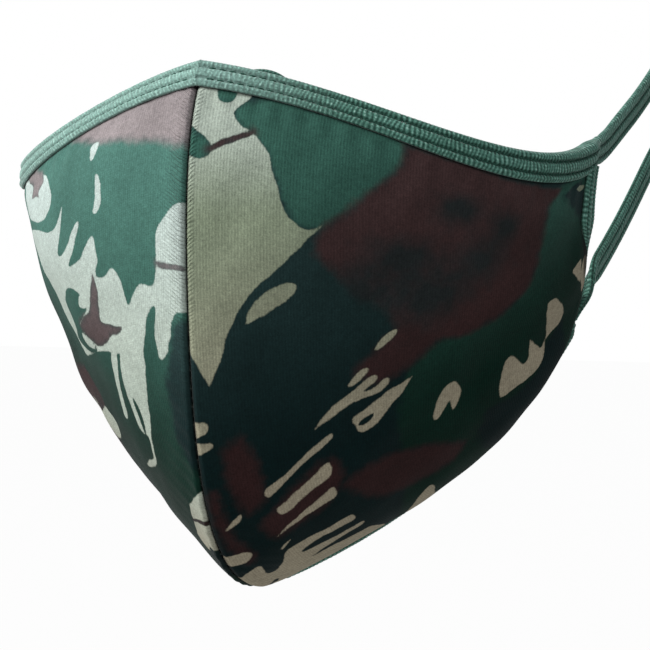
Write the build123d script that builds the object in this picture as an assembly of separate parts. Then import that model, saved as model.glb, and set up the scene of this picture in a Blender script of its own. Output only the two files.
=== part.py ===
from build123d import *
import math
import os

os.makedirs("parts", exist_ok=True)

# Frame: +Z up, the mask faces -Y, +X is the wearer's left.
# The origin is the middle of the face opening: x on the centre seam,
# y just in front of the side edges, z at mid-height between nose and chin.

# driving dimensions, mm
FABRIC_THICKNESS = 1.2      # printed outer jersey
LINING_THICKNESS = 1.0      # plain inner jersey
TAPE_WIDTH = 8.0            # finished width of the tape folded over an edge
LOOP_WIDTH = 9.2            # the same tape folded with no cloth inside
TAPE_THICKNESS = 1.2        # one leg of the folded tape
SLIP = 0.15                 # clearance between tape and fabric
SEAM_GAP = 0.3              # between the two halves at the centre seam
THREAD = 0.5
SIDE_TAPE = (0.25, 0.76)    # share of the side edge between the two long tapes
BOTTOM_TAPE_TO = 0.965
STITCH_ROWS = (2.7, 6.0)    # distance of the two rows from the tape's folded border
LOOP_THICKNESS = 2.2        # folded tape closed on itself
LOOP_GAP = 1.5              # tape end to the loop's hinge line
LOOP_ROOTS = (20.0, -20.0)  # strand centres along the hinge line
TURN_RADIUS = 12.0          # centre line of the loop's U-turn
LEFT_TURN, RIGHT_TURN = (78.0, 35.0), (76.0, 16.0)  # its centre: outwards, up the hinge
LEFT_SWING, RIGHT_SWING = 7.0, -42.0    # outward from straight back, degrees
HINGE_LOW = (81.5, 22.5, 11.0)
HINGE_HIGH = (88.5, 12.0, 57.0)

# The left half's fabric as a net of control points, rows from the top edge to
# the bottom edge, each row from the centre seam to the side edge.
SHAPE = [
    [(0, -64, 72), (20, -58, 69), (42, -46, 61), (66, -52, 51), (82, -16, 43), (88, 8, 56)],
    [(0, -83, 46), (24, -74, 48), (46, -70, 42), (67, -50, 36), (84, -16, 36), (86, 8, 50)],
    [(0, -73, 13), (30, -76, 20), (55, -65, 18), (72, -39, 16), (83, -11, 27), (85, 8.5, 43)],
    [(0, -69, -14), (25, -62, -10), (49, -47, -6), (62, -22, -4), (81, -2, 16), (84.5, 9, 36)],
    [(0, -84, -57), (20, -57, -44), (39, -37, -35), (56, -9, -27), (83, 4, 1), (84.5, 10, 28)],
    [(0, -37, -79), (15, -29, -73), (39, -5, -66), (68, 17, -57), (90, 17, -18), (84, 13, 20)],
    [(0, -6, -67), (17, 0, -59), (32, 18, -46), (50, 29, -34), (68, 27, -6), (81, 19, 12)],
]

Y_AXIS = Vector(0, 1, 0)


def weights(count, t):
    """Bernstein weights of a row of control points."""
    n = count - 1
    return [math.comb(n, i) * t**i * (1 - t) ** (n - i) for i in range(count)]


def on_fabric(u, v):
    across, down = weights(6, u), weights(7, v)
    total = [0.0, 0.0, 0.0]
    for row, share in zip(SHAPE, down):
        for point, part in zip(row, across):
            for axis in range(3):
                total[axis] += share * part * point[axis]
    return Vector(*total)


def fabric_slopes(u, v, step=1e-4):
    along = (on_fabric(u + step, v) - on_fabric(u - step, v)) / (2 * step)
    down = (on_fabric(u, v + step) - on_fabric(u, v - step)) / (2 * step)
    return along, down


# The three bound edges: how the edge parameter maps to (u, v), the
# direction along the edge and the direction into the fabric.
EDGES = {
    "top": (lambda t: (t, 0.0), (1, 0), (0, 1)),
    "bottom": (lambda t: (t, 1.0), (1, 0), (0, -1)),
    "side": (lambda t: (1.0, t), (0, 1), (-1, 0)),
}


def walk_in(edge, t, distance):
    """The fabric point a given distance in from the edge, in the plane square
    to the edge, with its tangent into the fabric and outward normal."""
    start, along, inward = EDGES[edge]
    u, v = start(t)
    su, sv = fabric_slopes(u, v)
    tangent = (su * along[0] + sv * along[1]).normalized()
    origin = on_fabric(u, v)
    guess = su * inward[0] + sv * inward[1]
    u += inward[0] * distance / guess.length
    v += inward[1] * distance / guess.length
    for _ in range(8 if distance else 0):
        offset = on_fabric(u, v) - origin
        su, sv = fabric_slopes(u, v)
        miss_plane = offset.dot(tangent)
        miss_reach = offset.length - distance
        if abs(miss_plane) + abs(miss_reach) < 1e-6:
            break
        unit = offset.normalized()
        a, b = su.dot(tangent), sv.dot(tangent)
        c, d = su.dot(unit), sv.dot(unit)
        det = a * d - b * c
        u -= (d * miss_plane - b * miss_reach) / det
        v -= (a * miss_reach - c * miss_plane) / det
    normal = sv.cross(su)
    normal = normal - tangent * normal.dot(tangent)
    normal = normal.normalized()
    inward_line = normal.cross(tangent)
    if inward_line.dot(su * inward[0] + sv * inward[1]) < 0:
        inward_line = inward_line * -1
    return on_fabric(u, v), inward_line, normal


OUTER = FABRIC_THICKNESS + SLIP
INNER = -(LINING_THICKNESS + SLIP)
REACH = TAPE_WIDTH - TAPE_THICKNESS - SLIP


# past this point of its edge a tape runs straight on towards the ear loop
STRAIGHT_FROM = {"top": 1.0, "bottom": 0.955, "side": 2.0}


def tape_section(edge, t):
    """Closed outline of the folded tape square to the edge."""
    start = min(t, STRAIGHT_FROM[edge])
    legs = [walk_in(edge, start, REACH * k / 3) for k in (3, 2, 1, 0)]
    if t > start:
        place = EDGES[edge][0]
        ahead = (on_fabric(*place(start)) - on_fabric(*place(start - 0.01))) * 100
        legs = [(p + ahead * (t - start), inward, n) for p, inward, n in legs]
    crest_point, inward, normal = legs[-1]
    skin = OUTER + TAPE_THICKNESS
    lining_skin = INNER - TAPE_THICKNESS
    crest = SLIP + TAPE_THICKNESS
    outline = [p + n * skin for p, _, n in legs]
    round_over = (
        (0.65 * crest, skin - 0.5),
        (crest, 0.45 * skin),
        (crest, 0.45 * lining_skin),
        (0.65 * crest, lining_skin + 0.5),
    )
    outline += [crest_point - inward * w + normal * h for w, h in round_over]
    outline += [p + n * lining_skin for p, _, n in reversed(legs)]
    outline += [p + n * INNER for p, _, n in legs[:-1]]
    outline += [crest_point - inward * SLIP + normal * INNER]
    outline += [crest_point - inward * SLIP + normal * OUTER]
    outline += [p + n * OUTER for p, _, n in reversed(legs[:-1])]
    return Wire.make_polygon(outline, close=True)


def folded_tape(edge, first, last, stations):
    steps = [first + (last - first) * k / (stations - 1) for k in range(stations)]
    return Solid.make_loft([tape_section(edge, t) for t in steps])


HIGH, LOW = Vector(*HINGE_HIGH), Vector(*HINGE_LOW)
HINGE = (HIGH - LOW).normalized()
HINGE_MIDDLE = (HIGH + LOW) / 2


def loop_plane(swing):
    """Plane of the left loop: x away from the face edge, y up the hinge line."""
    angle = math.radians(swing)
    back = Vector(math.sin(angle), math.cos(angle), 0)
    out = (back - HINGE * back.dot(HINGE)).normalized()
    return Plane(origin=HINGE_MIDDLE, x_dir=out, z_dir=out.cross(HINGE))


def keep_side(shape, plane):
    """Keeps what lies on the plane's +Z side."""
    block = plane * Box(600, 600, 300, align=(Align.CENTER, Align.CENTER, Align.MIN))
    return shape & block


SEAM_PLANE = Plane(origin=(SEAM_GAP / 2, 0, 0), z_dir=(1, 0, 0))
straight_back = loop_plane(0)
TAPE_END = Plane(
    origin=HINGE_MIDDLE - straight_back.x_dir * LOOP_GAP, z_dir=straight_back.x_dir * -1
)


def thread_row(edge, first, last, row):
    """One row of stitching lying along the tape's outer leg."""
    depth = row - TAPE_THICKNESS - SLIP
    low = OUTER + TAPE_THICKNESS + 0.06
    sections = []
    for k in range(25):
        t = first + (last - first) * k / 24
        point, inward, normal = walk_in(edge, t, depth)
        corners = [(-0.5, 0), (0.5, 0), (0.5, 1), (-0.5, 1)]
        outline = [
            point + inward * THREAD * across + normal * (low + THREAD * up)
            for across, up in corners
        ]
        sections.append(Wire.make_polygon(outline, close=True))
    return Solid.make_loft(sections)


def touch(root, centre, side):
    """Where the line from a strand's root touches the round turn."""
    away = centre - root
    swing = side * math.asin(TURN_RADIUS / away.length)
    reach = math.sqrt(away.length**2 - TURN_RADIUS**2)
    unit = away.normalized()
    turned = Vector(
        unit.X * math.cos(swing) - unit.Y * math.sin(swing),
        unit.X * math.sin(swing) + unit.Y * math.cos(swing),
    )
    return root + turned * reach, turned


def strands(turn):
    """Root, touching point and heading of the upper and lower strand."""
    centre = Vector(*turn)
    made = []
    for height, side in zip(LOOP_ROOTS, (1, -1)):
        root = Vector(0, height)
        end, heading = touch(root, centre, side)
        made.append((root, end, heading))
    return made


def ear_loop(turn, swing):
    (high, high_end, up), (low, low_end, down) = strands(turn)
    far = Vector(*turn) + (up + down).normalized() * TURN_RADIUS
    with BuildSketch() as flat:
        with BuildLine():
            Line(high - up * 3, high_end)
            ThreePointArc(high_end, far, low_end)
            Line(low_end, low - down * 3)
        trace(line_width=LOOP_WIDTH)
    band = extrude(flat.sketch, LOOP_THICKNESS / 2, both=True)
    band = band & Pos(200, 0, 0) * Box(400, 400, 50)
    for root, _, heading in strands(turn):
        height = LOOP_WIDTH / heading.X
        knuckle = Rot(90, 0, 0) * Cylinder(LOOP_THICKNESS / 2, height)
        band = band + Pos(0, root.Y, 0) * knuckle
    return loop_plane(swing) * band


def loop_stitches(turn, swing):
    """Two rows of stitching on the outward face of each strand."""
    made = []
    for root, end, heading in strands(turn):
        across = Vector(-heading.Y, heading.X)
        length = (end - root).length - 5
        for row in STITCH_ROWS:
            shift = (0.5 - row / TAPE_WIDTH) * LOOP_WIDTH
            if root.Y < 0:
                shift = -shift
            spot = root + heading * (4 + length / 2) + across * shift
            height = LOOP_THICKNESS / 2 + THREAD / 2 + 0.06
            place = Plane(
                origin=(spot.X, spot.Y, height), x_dir=(heading.X, heading.Y, 0)
            )
            made.append(loop_plane(swing) * place * Box(length, THREAD, THREAD))
    return made


def mirrored(shapes):
    return [mirror(s, about=Plane.YZ) for s in shapes]


def save(name, shapes):
    solids = [s for shape in shapes for s in shape.solids()]
    export_step(Compound(children=solids), f"parts/{name}.step")


fabric = Face.make_bezier_surface([[Vector(*p) for p in row] for row in SHAPE])
if fabric.normal_at(fabric.center()).dot(Y_AXIS) > 0:
    fabric = -fabric
panel = keep_side(Solid.thicken(fabric, FABRIC_THICKNESS), SEAM_PLANE)
lining = keep_side(Solid.thicken(fabric, -LINING_THICKNESS), SEAM_PLANE)

top_tape = keep_side(keep_side(folded_tape("top", -0.02, 1.05, 16), SEAM_PLANE), TAPE_END)
bottom_tape = keep_side(
    keep_side(folded_tape("bottom", -0.02, BOTTOM_TAPE_TO, 16), SEAM_PLANE), TAPE_END
)
side_tape = keep_side(folded_tape("side", *SIDE_TAPE, 6), TAPE_END)

top_stitches = [thread_row("top", 0.01, 0.98, row) for row in STITCH_ROWS]
bottom_stitches = [thread_row("bottom", 0.02, 0.94, row) for row in STITCH_ROWS]
side_stitches = [
    thread_row("side", SIDE_TAPE[0] + 0.02, SIDE_TAPE[1] - 0.02, row) for row in STITCH_ROWS
]


def seam_thread(depth, low, first, last):
    """The seam's thread beside the centre line, on one face of the fabric."""
    sections = []
    for k in range(31):
        v = first + (last - first) * k / 30
        here = on_fabric(0, v)
        su, sv = fabric_slopes(0, v)
        normal = sv.cross(su).normalized()
        across = normal.cross(sv).normalized()
        if across.X < 0:
            across = across * -1
        corners = [(-0.5, 0), (0.5, 0), (0.5, 1), (-0.5, 1)]
        outline = [
            here + across * (depth + THREAD * w) + normal * (low + THREAD * h)
            for w, h in corners
        ]
        sections.append(Wire.make_polygon(outline, close=True))
    return Solid.make_loft(sections)


for side, turn in (("left", list), ("right", mirrored)):
    save(f"{side}_outer_panel", turn([panel]))
    save(f"{side}_lining", turn([lining]))
    save(f"{side}_top_binding", turn([top_tape]))
    save(f"{side}_bottom_binding", turn([bottom_tape]))
    save(f"{side}_side_binding", turn([side_tape]))
    save(f"{side}_top_stitches", turn(top_stitches))
    save(f"{side}_bottom_stitches", turn(bottom_stitches))
    save(f"{side}_side_stitches", turn(side_stitches))

save("left_ear_loop", [ear_loop(LEFT_TURN, LEFT_SWING)])
save("right_ear_loop", mirrored([ear_loop(RIGHT_TURN, RIGHT_SWING)]))
save("left_loop_stitches", loop_stitches(LEFT_TURN, LEFT_SWING))
save("right_loop_stitches", mirrored(loop_stitches(RIGHT_TURN, RIGHT_SWING)))

outer_thread = seam_thread(1.6, FABRIC_THICKNESS + 0.06, 0.075, 0.92)
inner_thread = seam_thread(3.0, -LINING_THICKNESS - 0.15 - THREAD, 0.085, 0.91)
save("centre_seam_stitches", mirrored([outer_thread]))
save("lining_seam_stitches", mirrored([inner_thread]))
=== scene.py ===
import math

import bpy
import numpy as np
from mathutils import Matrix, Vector


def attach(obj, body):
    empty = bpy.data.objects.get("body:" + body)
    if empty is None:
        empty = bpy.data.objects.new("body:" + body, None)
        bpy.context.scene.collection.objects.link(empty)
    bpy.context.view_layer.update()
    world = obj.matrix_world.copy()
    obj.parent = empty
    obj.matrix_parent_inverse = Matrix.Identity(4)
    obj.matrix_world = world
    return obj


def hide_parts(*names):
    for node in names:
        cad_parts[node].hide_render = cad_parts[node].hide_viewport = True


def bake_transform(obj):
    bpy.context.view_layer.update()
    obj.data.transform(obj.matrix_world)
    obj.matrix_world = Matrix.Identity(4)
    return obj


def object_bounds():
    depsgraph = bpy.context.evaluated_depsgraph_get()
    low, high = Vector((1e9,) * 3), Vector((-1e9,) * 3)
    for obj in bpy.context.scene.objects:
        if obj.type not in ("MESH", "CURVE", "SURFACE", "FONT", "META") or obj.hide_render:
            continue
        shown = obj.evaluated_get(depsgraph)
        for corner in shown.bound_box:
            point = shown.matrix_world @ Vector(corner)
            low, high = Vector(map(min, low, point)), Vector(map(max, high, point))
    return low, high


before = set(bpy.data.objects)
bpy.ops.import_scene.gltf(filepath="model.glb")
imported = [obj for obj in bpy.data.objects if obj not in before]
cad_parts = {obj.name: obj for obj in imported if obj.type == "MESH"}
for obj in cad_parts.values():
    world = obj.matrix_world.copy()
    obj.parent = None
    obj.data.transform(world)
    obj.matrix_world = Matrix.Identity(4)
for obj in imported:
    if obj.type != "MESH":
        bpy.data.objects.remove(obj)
CAD_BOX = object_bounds()

MM = 0.001

# ---------------------------------------------------------------- dimensions, mm
FABRIC = 1.2                # printed outer jersey
LINING = 1.0                # plain inner jersey
TAPE_WIDTH = 8.0            # tape folded over an edge
LOOP_WIDTH = 9.2            # the same tape folded with no cloth inside
TAPE = 1.2                  # one leg of the tape
SLIP = 0.15                 # between tape and fabric
REACH = TAPE_WIDTH - TAPE - SLIP    # how far the tape covers the fabric
SEAM_HALF = 0.15            # the panels' edges stop this far from the centre plane
OFF_CENTRE = 0.05           # and the tapes' edges this far
HIDDEN = 0.12               # from the surface between panel and lining to either's hidden face
THIN = 0.7                  # least thickness of the panel where the seam rolls it in
ROWS = (2.75, 6.0)          # stitch rows, from the tape's folded border
RIB_PITCH = 1.15            # knitted ribs across the tape
RIB_LIFT = 0.2              # from a rib's dent to its crest
GROOVE_DEPTH = 0.62         # of the two stitched grooves in the tape's face
RING_SPACING = 0.3          # between the rings of a tape's mesh
STITCH_PITCH = 2.6
STITCH = 0.72 * STITCH_PITCH
THREAD = 0.55               # across a stitch
PROUD = 0.05                # stitches stand this far above the groove's bottom

# Places on an edge go by its curve's parameter, 0 to 1: the stretch with tape,
# the stretch with stitches and so on. The side strip starts under the top tape.
TAPE_SPAN = {"top": (-0.01, 1.01), "bottom": (-0.01, 0.965), "side": (0.18, 0.76)}
THREAD_SPAN = {"top": (0.012, 0.99), "bottom": (0.02, 0.95), "side": (0.23, 0.60)}
STRAIGHT_FROM = {"top": 1.0, "bottom": 0.955, "side": 2.0}     # from here a tape runs straight on
LOOP_FROM = {"top": 0.975, "bottom": 0.945}                    # where the ear loop's centre line starts
RIB_SKEW = {"top": {"left": 0.1, "right": 0.45}, "bottom": {"left": 0.2, "right": 0.2},
            "side": {"left": 0.3, "right": 0.3}}               # how far the ribs slant

# The left half's fabric: rows of control points from the top edge to the
# bottom edge, each from the centre seam to the side edge, as in the CAD.
SHAPE = np.array([
    [(0, -64, 72), (20, -58, 69), (42, -46, 61), (66, -52, 51), (82, -16, 43), (88, 8, 56)],
    [(0, -83, 46), (24, -74, 48), (46, -70, 42), (67, -50, 36), (84, -16, 36), (86, 8, 50)],
    [(0, -73, 13), (30, -76, 20), (55, -65, 18), (72, -39, 16), (83, -11, 27), (85, 8.5, 43)],
    [(0, -69, -14), (25, -62, -10), (49, -47, -6), (62, -22, -4), (81, -2, 16), (84.5, 9, 36)],
    [(0, -84, -57), (20, -57, -44), (39, -37, -35), (56, -9, -27), (83, 4, 1), (84.5, 10, 28)],
    [(0, -37, -79), (15, -29, -73), (39, -5, -66), (68, 17, -57), (90, 17, -18), (84, 13, 20)],
    [(0, -6, -67), (17, 0, -59), (32, 18, -46), (50, 29, -34), (68, 27, -6), (81, 19, 12)],
], float)

# Ear loops, as in the CAD: hinge line, strand roots, turn and swing of each side.
HINGE_LOW, HINGE_HIGH = np.array((81.5, 22.5, 11.0)), np.array((88.5, 12.0, 57.0))
LOOP_ROOT = 20.0
TURN_RADIUS = 12.0
LOOP_TURN = {"left": (78.0, 35.0), "right": (76.0, 16.0)}
LOOP_SWING = {"left": 7.0, "right": -42.0}
CLOSED = 0.02               # half the gap inside the loop's folded tape, mm
FLATTENED = 0.9             # the stretched tape's thickness, as a share
LOOP_SKEW = 0.35            # slant of its ribs
HELD_RINGS = 33             # rings at each end, beside the binding's own end, without stitches

SIGN = {"left": 1.0, "right": -1.0}


# ---------------------------------------------------------------- the fabric's surface
def bernstein(count, t):
    n = count - 1
    t = np.asarray(t, float)[..., None]
    k = np.arange(count)
    binomial = np.array([math.comb(n, i) for i in k], float)
    return binomial * t**k * (1 - t) ** (n - k)


def fabric(u, v):
    return np.einsum("...a,...b,abk->...k", bernstein(7, v), bernstein(6, u), SHAPE)


def slopes(u, v, step=1e-4):
    along = (fabric(u + step, v) - fabric(u - step, v)) / (2 * step)
    down = (fabric(u, v + step) - fabric(u, v - step)) / (2 * step)
    return along, down


def unit(a):
    return a / np.maximum(np.linalg.norm(a, axis=-1, keepdims=True), 1e-12)


def dot(a, b):
    return (a * b).sum(-1)


def outward(u, v):
    along, down = slopes(u, v)
    return unit(np.cross(down, along))


EDGES = {
    "top": (lambda t: (t, 0 * t), (1, 0), (0, 1)),
    "bottom": (lambda t: (t, 0 * t + 1), (1, 0), (0, -1)),
    "side": (lambda t: (0 * t + 1, t), (0, 1), (-1, 0)),
}


def walk_in(edge, t, distance):
    """Fabric points a distance in from an edge, square to it, with the
    tangent along the edge, the direction into the fabric and the normal."""
    place, along, inward = EDGES[edge]
    u, v = (np.array(x, float) for x in place(t))
    su, sv = slopes(u, v)
    tangent = unit(su * along[0] + sv * along[1])
    origin = fabric(u, v)
    guess = np.linalg.norm(su * inward[0] + sv * inward[1], axis=-1)
    u = u + inward[0] * distance / guess
    v = v + inward[1] * distance / guess
    rounds = 6 if distance else 0
    for _ in range(rounds):
        offset = fabric(u, v) - origin
        su, sv = slopes(u, v)
        miss_plane = dot(offset, tangent)
        miss_reach = np.linalg.norm(offset, axis=-1) - distance
        ray = unit(offset)
        a, b, c, d = dot(su, tangent), dot(sv, tangent), dot(su, ray), dot(sv, ray)
        det = a * d - b * c
        u = u - (d * miss_plane - b * miss_reach) / det
        v = v - (a * miss_reach - c * miss_plane) / det
    normal = np.cross(sv, su)
    normal = unit(normal - tangent * dot(normal, tangent)[..., None])
    into = np.cross(normal, tangent)
    into *= np.sign(dot(into, su * inward[0] + sv * inward[1]))[..., None]
    return fabric(u, v), tangent, into, normal


def arc_length(points):
    steps = np.linalg.norm(np.diff(points, axis=0), axis=-1)
    return np.concatenate([np.zeros((1,) + steps.shape[1:]), np.cumsum(steps, axis=0)])


def cloth_distances(points):
    """A grid's distances from the seam and from the top edge along the cloth, mm."""
    return arc_length(points.swapaxes(0, 1)).T, arc_length(points)


def point_at(distance, along, points):
    """Point at a distance on a polyline whose points stand at the distances along."""
    return np.stack([np.interp(distance, along, points[:, i]) for i in range(3)], -1)


def smoothstep(x, low, high):
    t = np.clip((x - low) / (high - low), 0, 1)
    return t * t * (3 - 2 * t)


def hump(x, centre, width):
    return np.exp(-(((x - centre) / width) ** 2))


# ---------------------------------------------------------------- meshes
def grid_faces(rows, cols, start=0, close=False):
    """Quads of a rows x cols grid of vertices; close joins the last column to the first."""
    i = np.arange(rows - 1)[:, None]
    j = np.arange(cols if close else cols - 1)[None, :]
    k = (j + 1) % cols
    quads = np.stack([i * cols + j, i * cols + k, (i + 1) * cols + k, (i + 1) * cols + j], -1)
    return quads.reshape(-1, 4) + start


def turned_outward(verts, faces):
    """Flips every face when the closed mesh is inside out."""
    a, b, c = (verts[faces[:, k]] for k in range(3))
    d = verts[faces[:, 3]]
    volume = dot(a, np.cross(b, c)).sum() + dot(a, np.cross(c, d)).sum()
    return faces if volume > 0 else faces[:, ::-1]


def add_object(name, data):
    made = bpy.data.objects.new(name, data)
    bpy.context.scene.collection.objects.link(made)
    return made


def make_piece(name, verts, faces, material, side="left", uv=None, fields=None):
    """A smooth mesh piece from points in mm; the right side is mirrored."""
    points = verts * np.array((SIGN[side], 1, 1)) * MM
    faces = turned_outward(points, faces)
    mesh = bpy.data.meshes.new(name)
    mesh.from_pydata(points.tolist(), [], faces.tolist())
    mesh.polygons.foreach_set("use_smooth", np.ones(len(mesh.polygons), bool))
    if uv is not None:
        layer = mesh.uv_layers.new(name="UVMap")
        index = np.empty(len(mesh.loops), np.int32)
        mesh.loops.foreach_get("vertex_index", index)
        layer.data.foreach_set("uv", uv[index].astype(np.float32).ravel())
    for field, values in (fields or {}).items():
        attribute = mesh.attributes.new(field, "FLOAT", "POINT")
        attribute.data.foreach_set("value", values.astype(np.float32))
    mesh.update()
    piece = add_object(name, mesh)
    mesh.materials.append(material)
    return piece


def slab(top, bottom):
    """Closed mesh between two grids of the same shape."""
    rows, cols = top.shape[:2]
    count = rows * cols
    verts = np.concatenate([top.reshape(-1, 3), bottom.reshape(-1, 3)])
    border = np.concatenate([
        np.arange(cols),
        np.arange(1, rows) * cols + cols - 1,
        (rows - 1) * cols + np.arange(cols - 2, -1, -1),
        np.arange(rows - 2, 0, -1) * cols,
    ])
    onward = np.roll(border, -1)
    wall = np.stack([border, border + count, onward + count, onward], -1)
    faces = np.concatenate([
        grid_faces(rows, cols), grid_faces(rows, cols, count)[:, ::-1], wall,
    ])
    return verts, faces


def closed_tube(rings):
    """Closed mesh through rings of points, its two ends closed by small centre rings."""
    count, around = rings.shape[:2]
    first, last = (ring.mean(0) + (ring - ring.mean(0)) * 1e-3 for ring in (rings[0], rings[-1]))
    rings = np.concatenate([first[None], rings, last[None]])
    return rings.reshape(-1, 3), grid_faces(count + 2, around, close=True)


def on_closed_tube(values):
    """Values of rings, repeated for the two centre rings that close the tube."""
    return np.concatenate([values[:1], values, values[-1:]]).ravel()


# ---------------------------------------------------------------- procedural noise
def waves(points, scale, seed, octaves=3):
    """Smooth noise in about -1..1: a few layers of seeded plane waves."""
    rng = np.random.default_rng(seed)
    total = np.zeros(points.shape[:-1])
    for octave in range(octaves):
        for _ in range(6):
            direction = unit(rng.normal(size=3))
            phase = rng.uniform(0, 2 * math.pi)
            rate = 2 * math.pi / scale * 1.9**octave * rng.uniform(0.7, 1.3)
            total += np.sin(points @ direction * rate + phase) / 1.8**octave / 4
    return total


# ---------------------------------------------------------------- camouflage print
# Outlines in hundredths of (u, v): u from the seam to the side edge, v from
# the top edge to the bottom edge. Later shapes print over earlier ones.
KHAKI, GREEN, BROWN, DARK = "khaki", "green", "brown", "dark"

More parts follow.
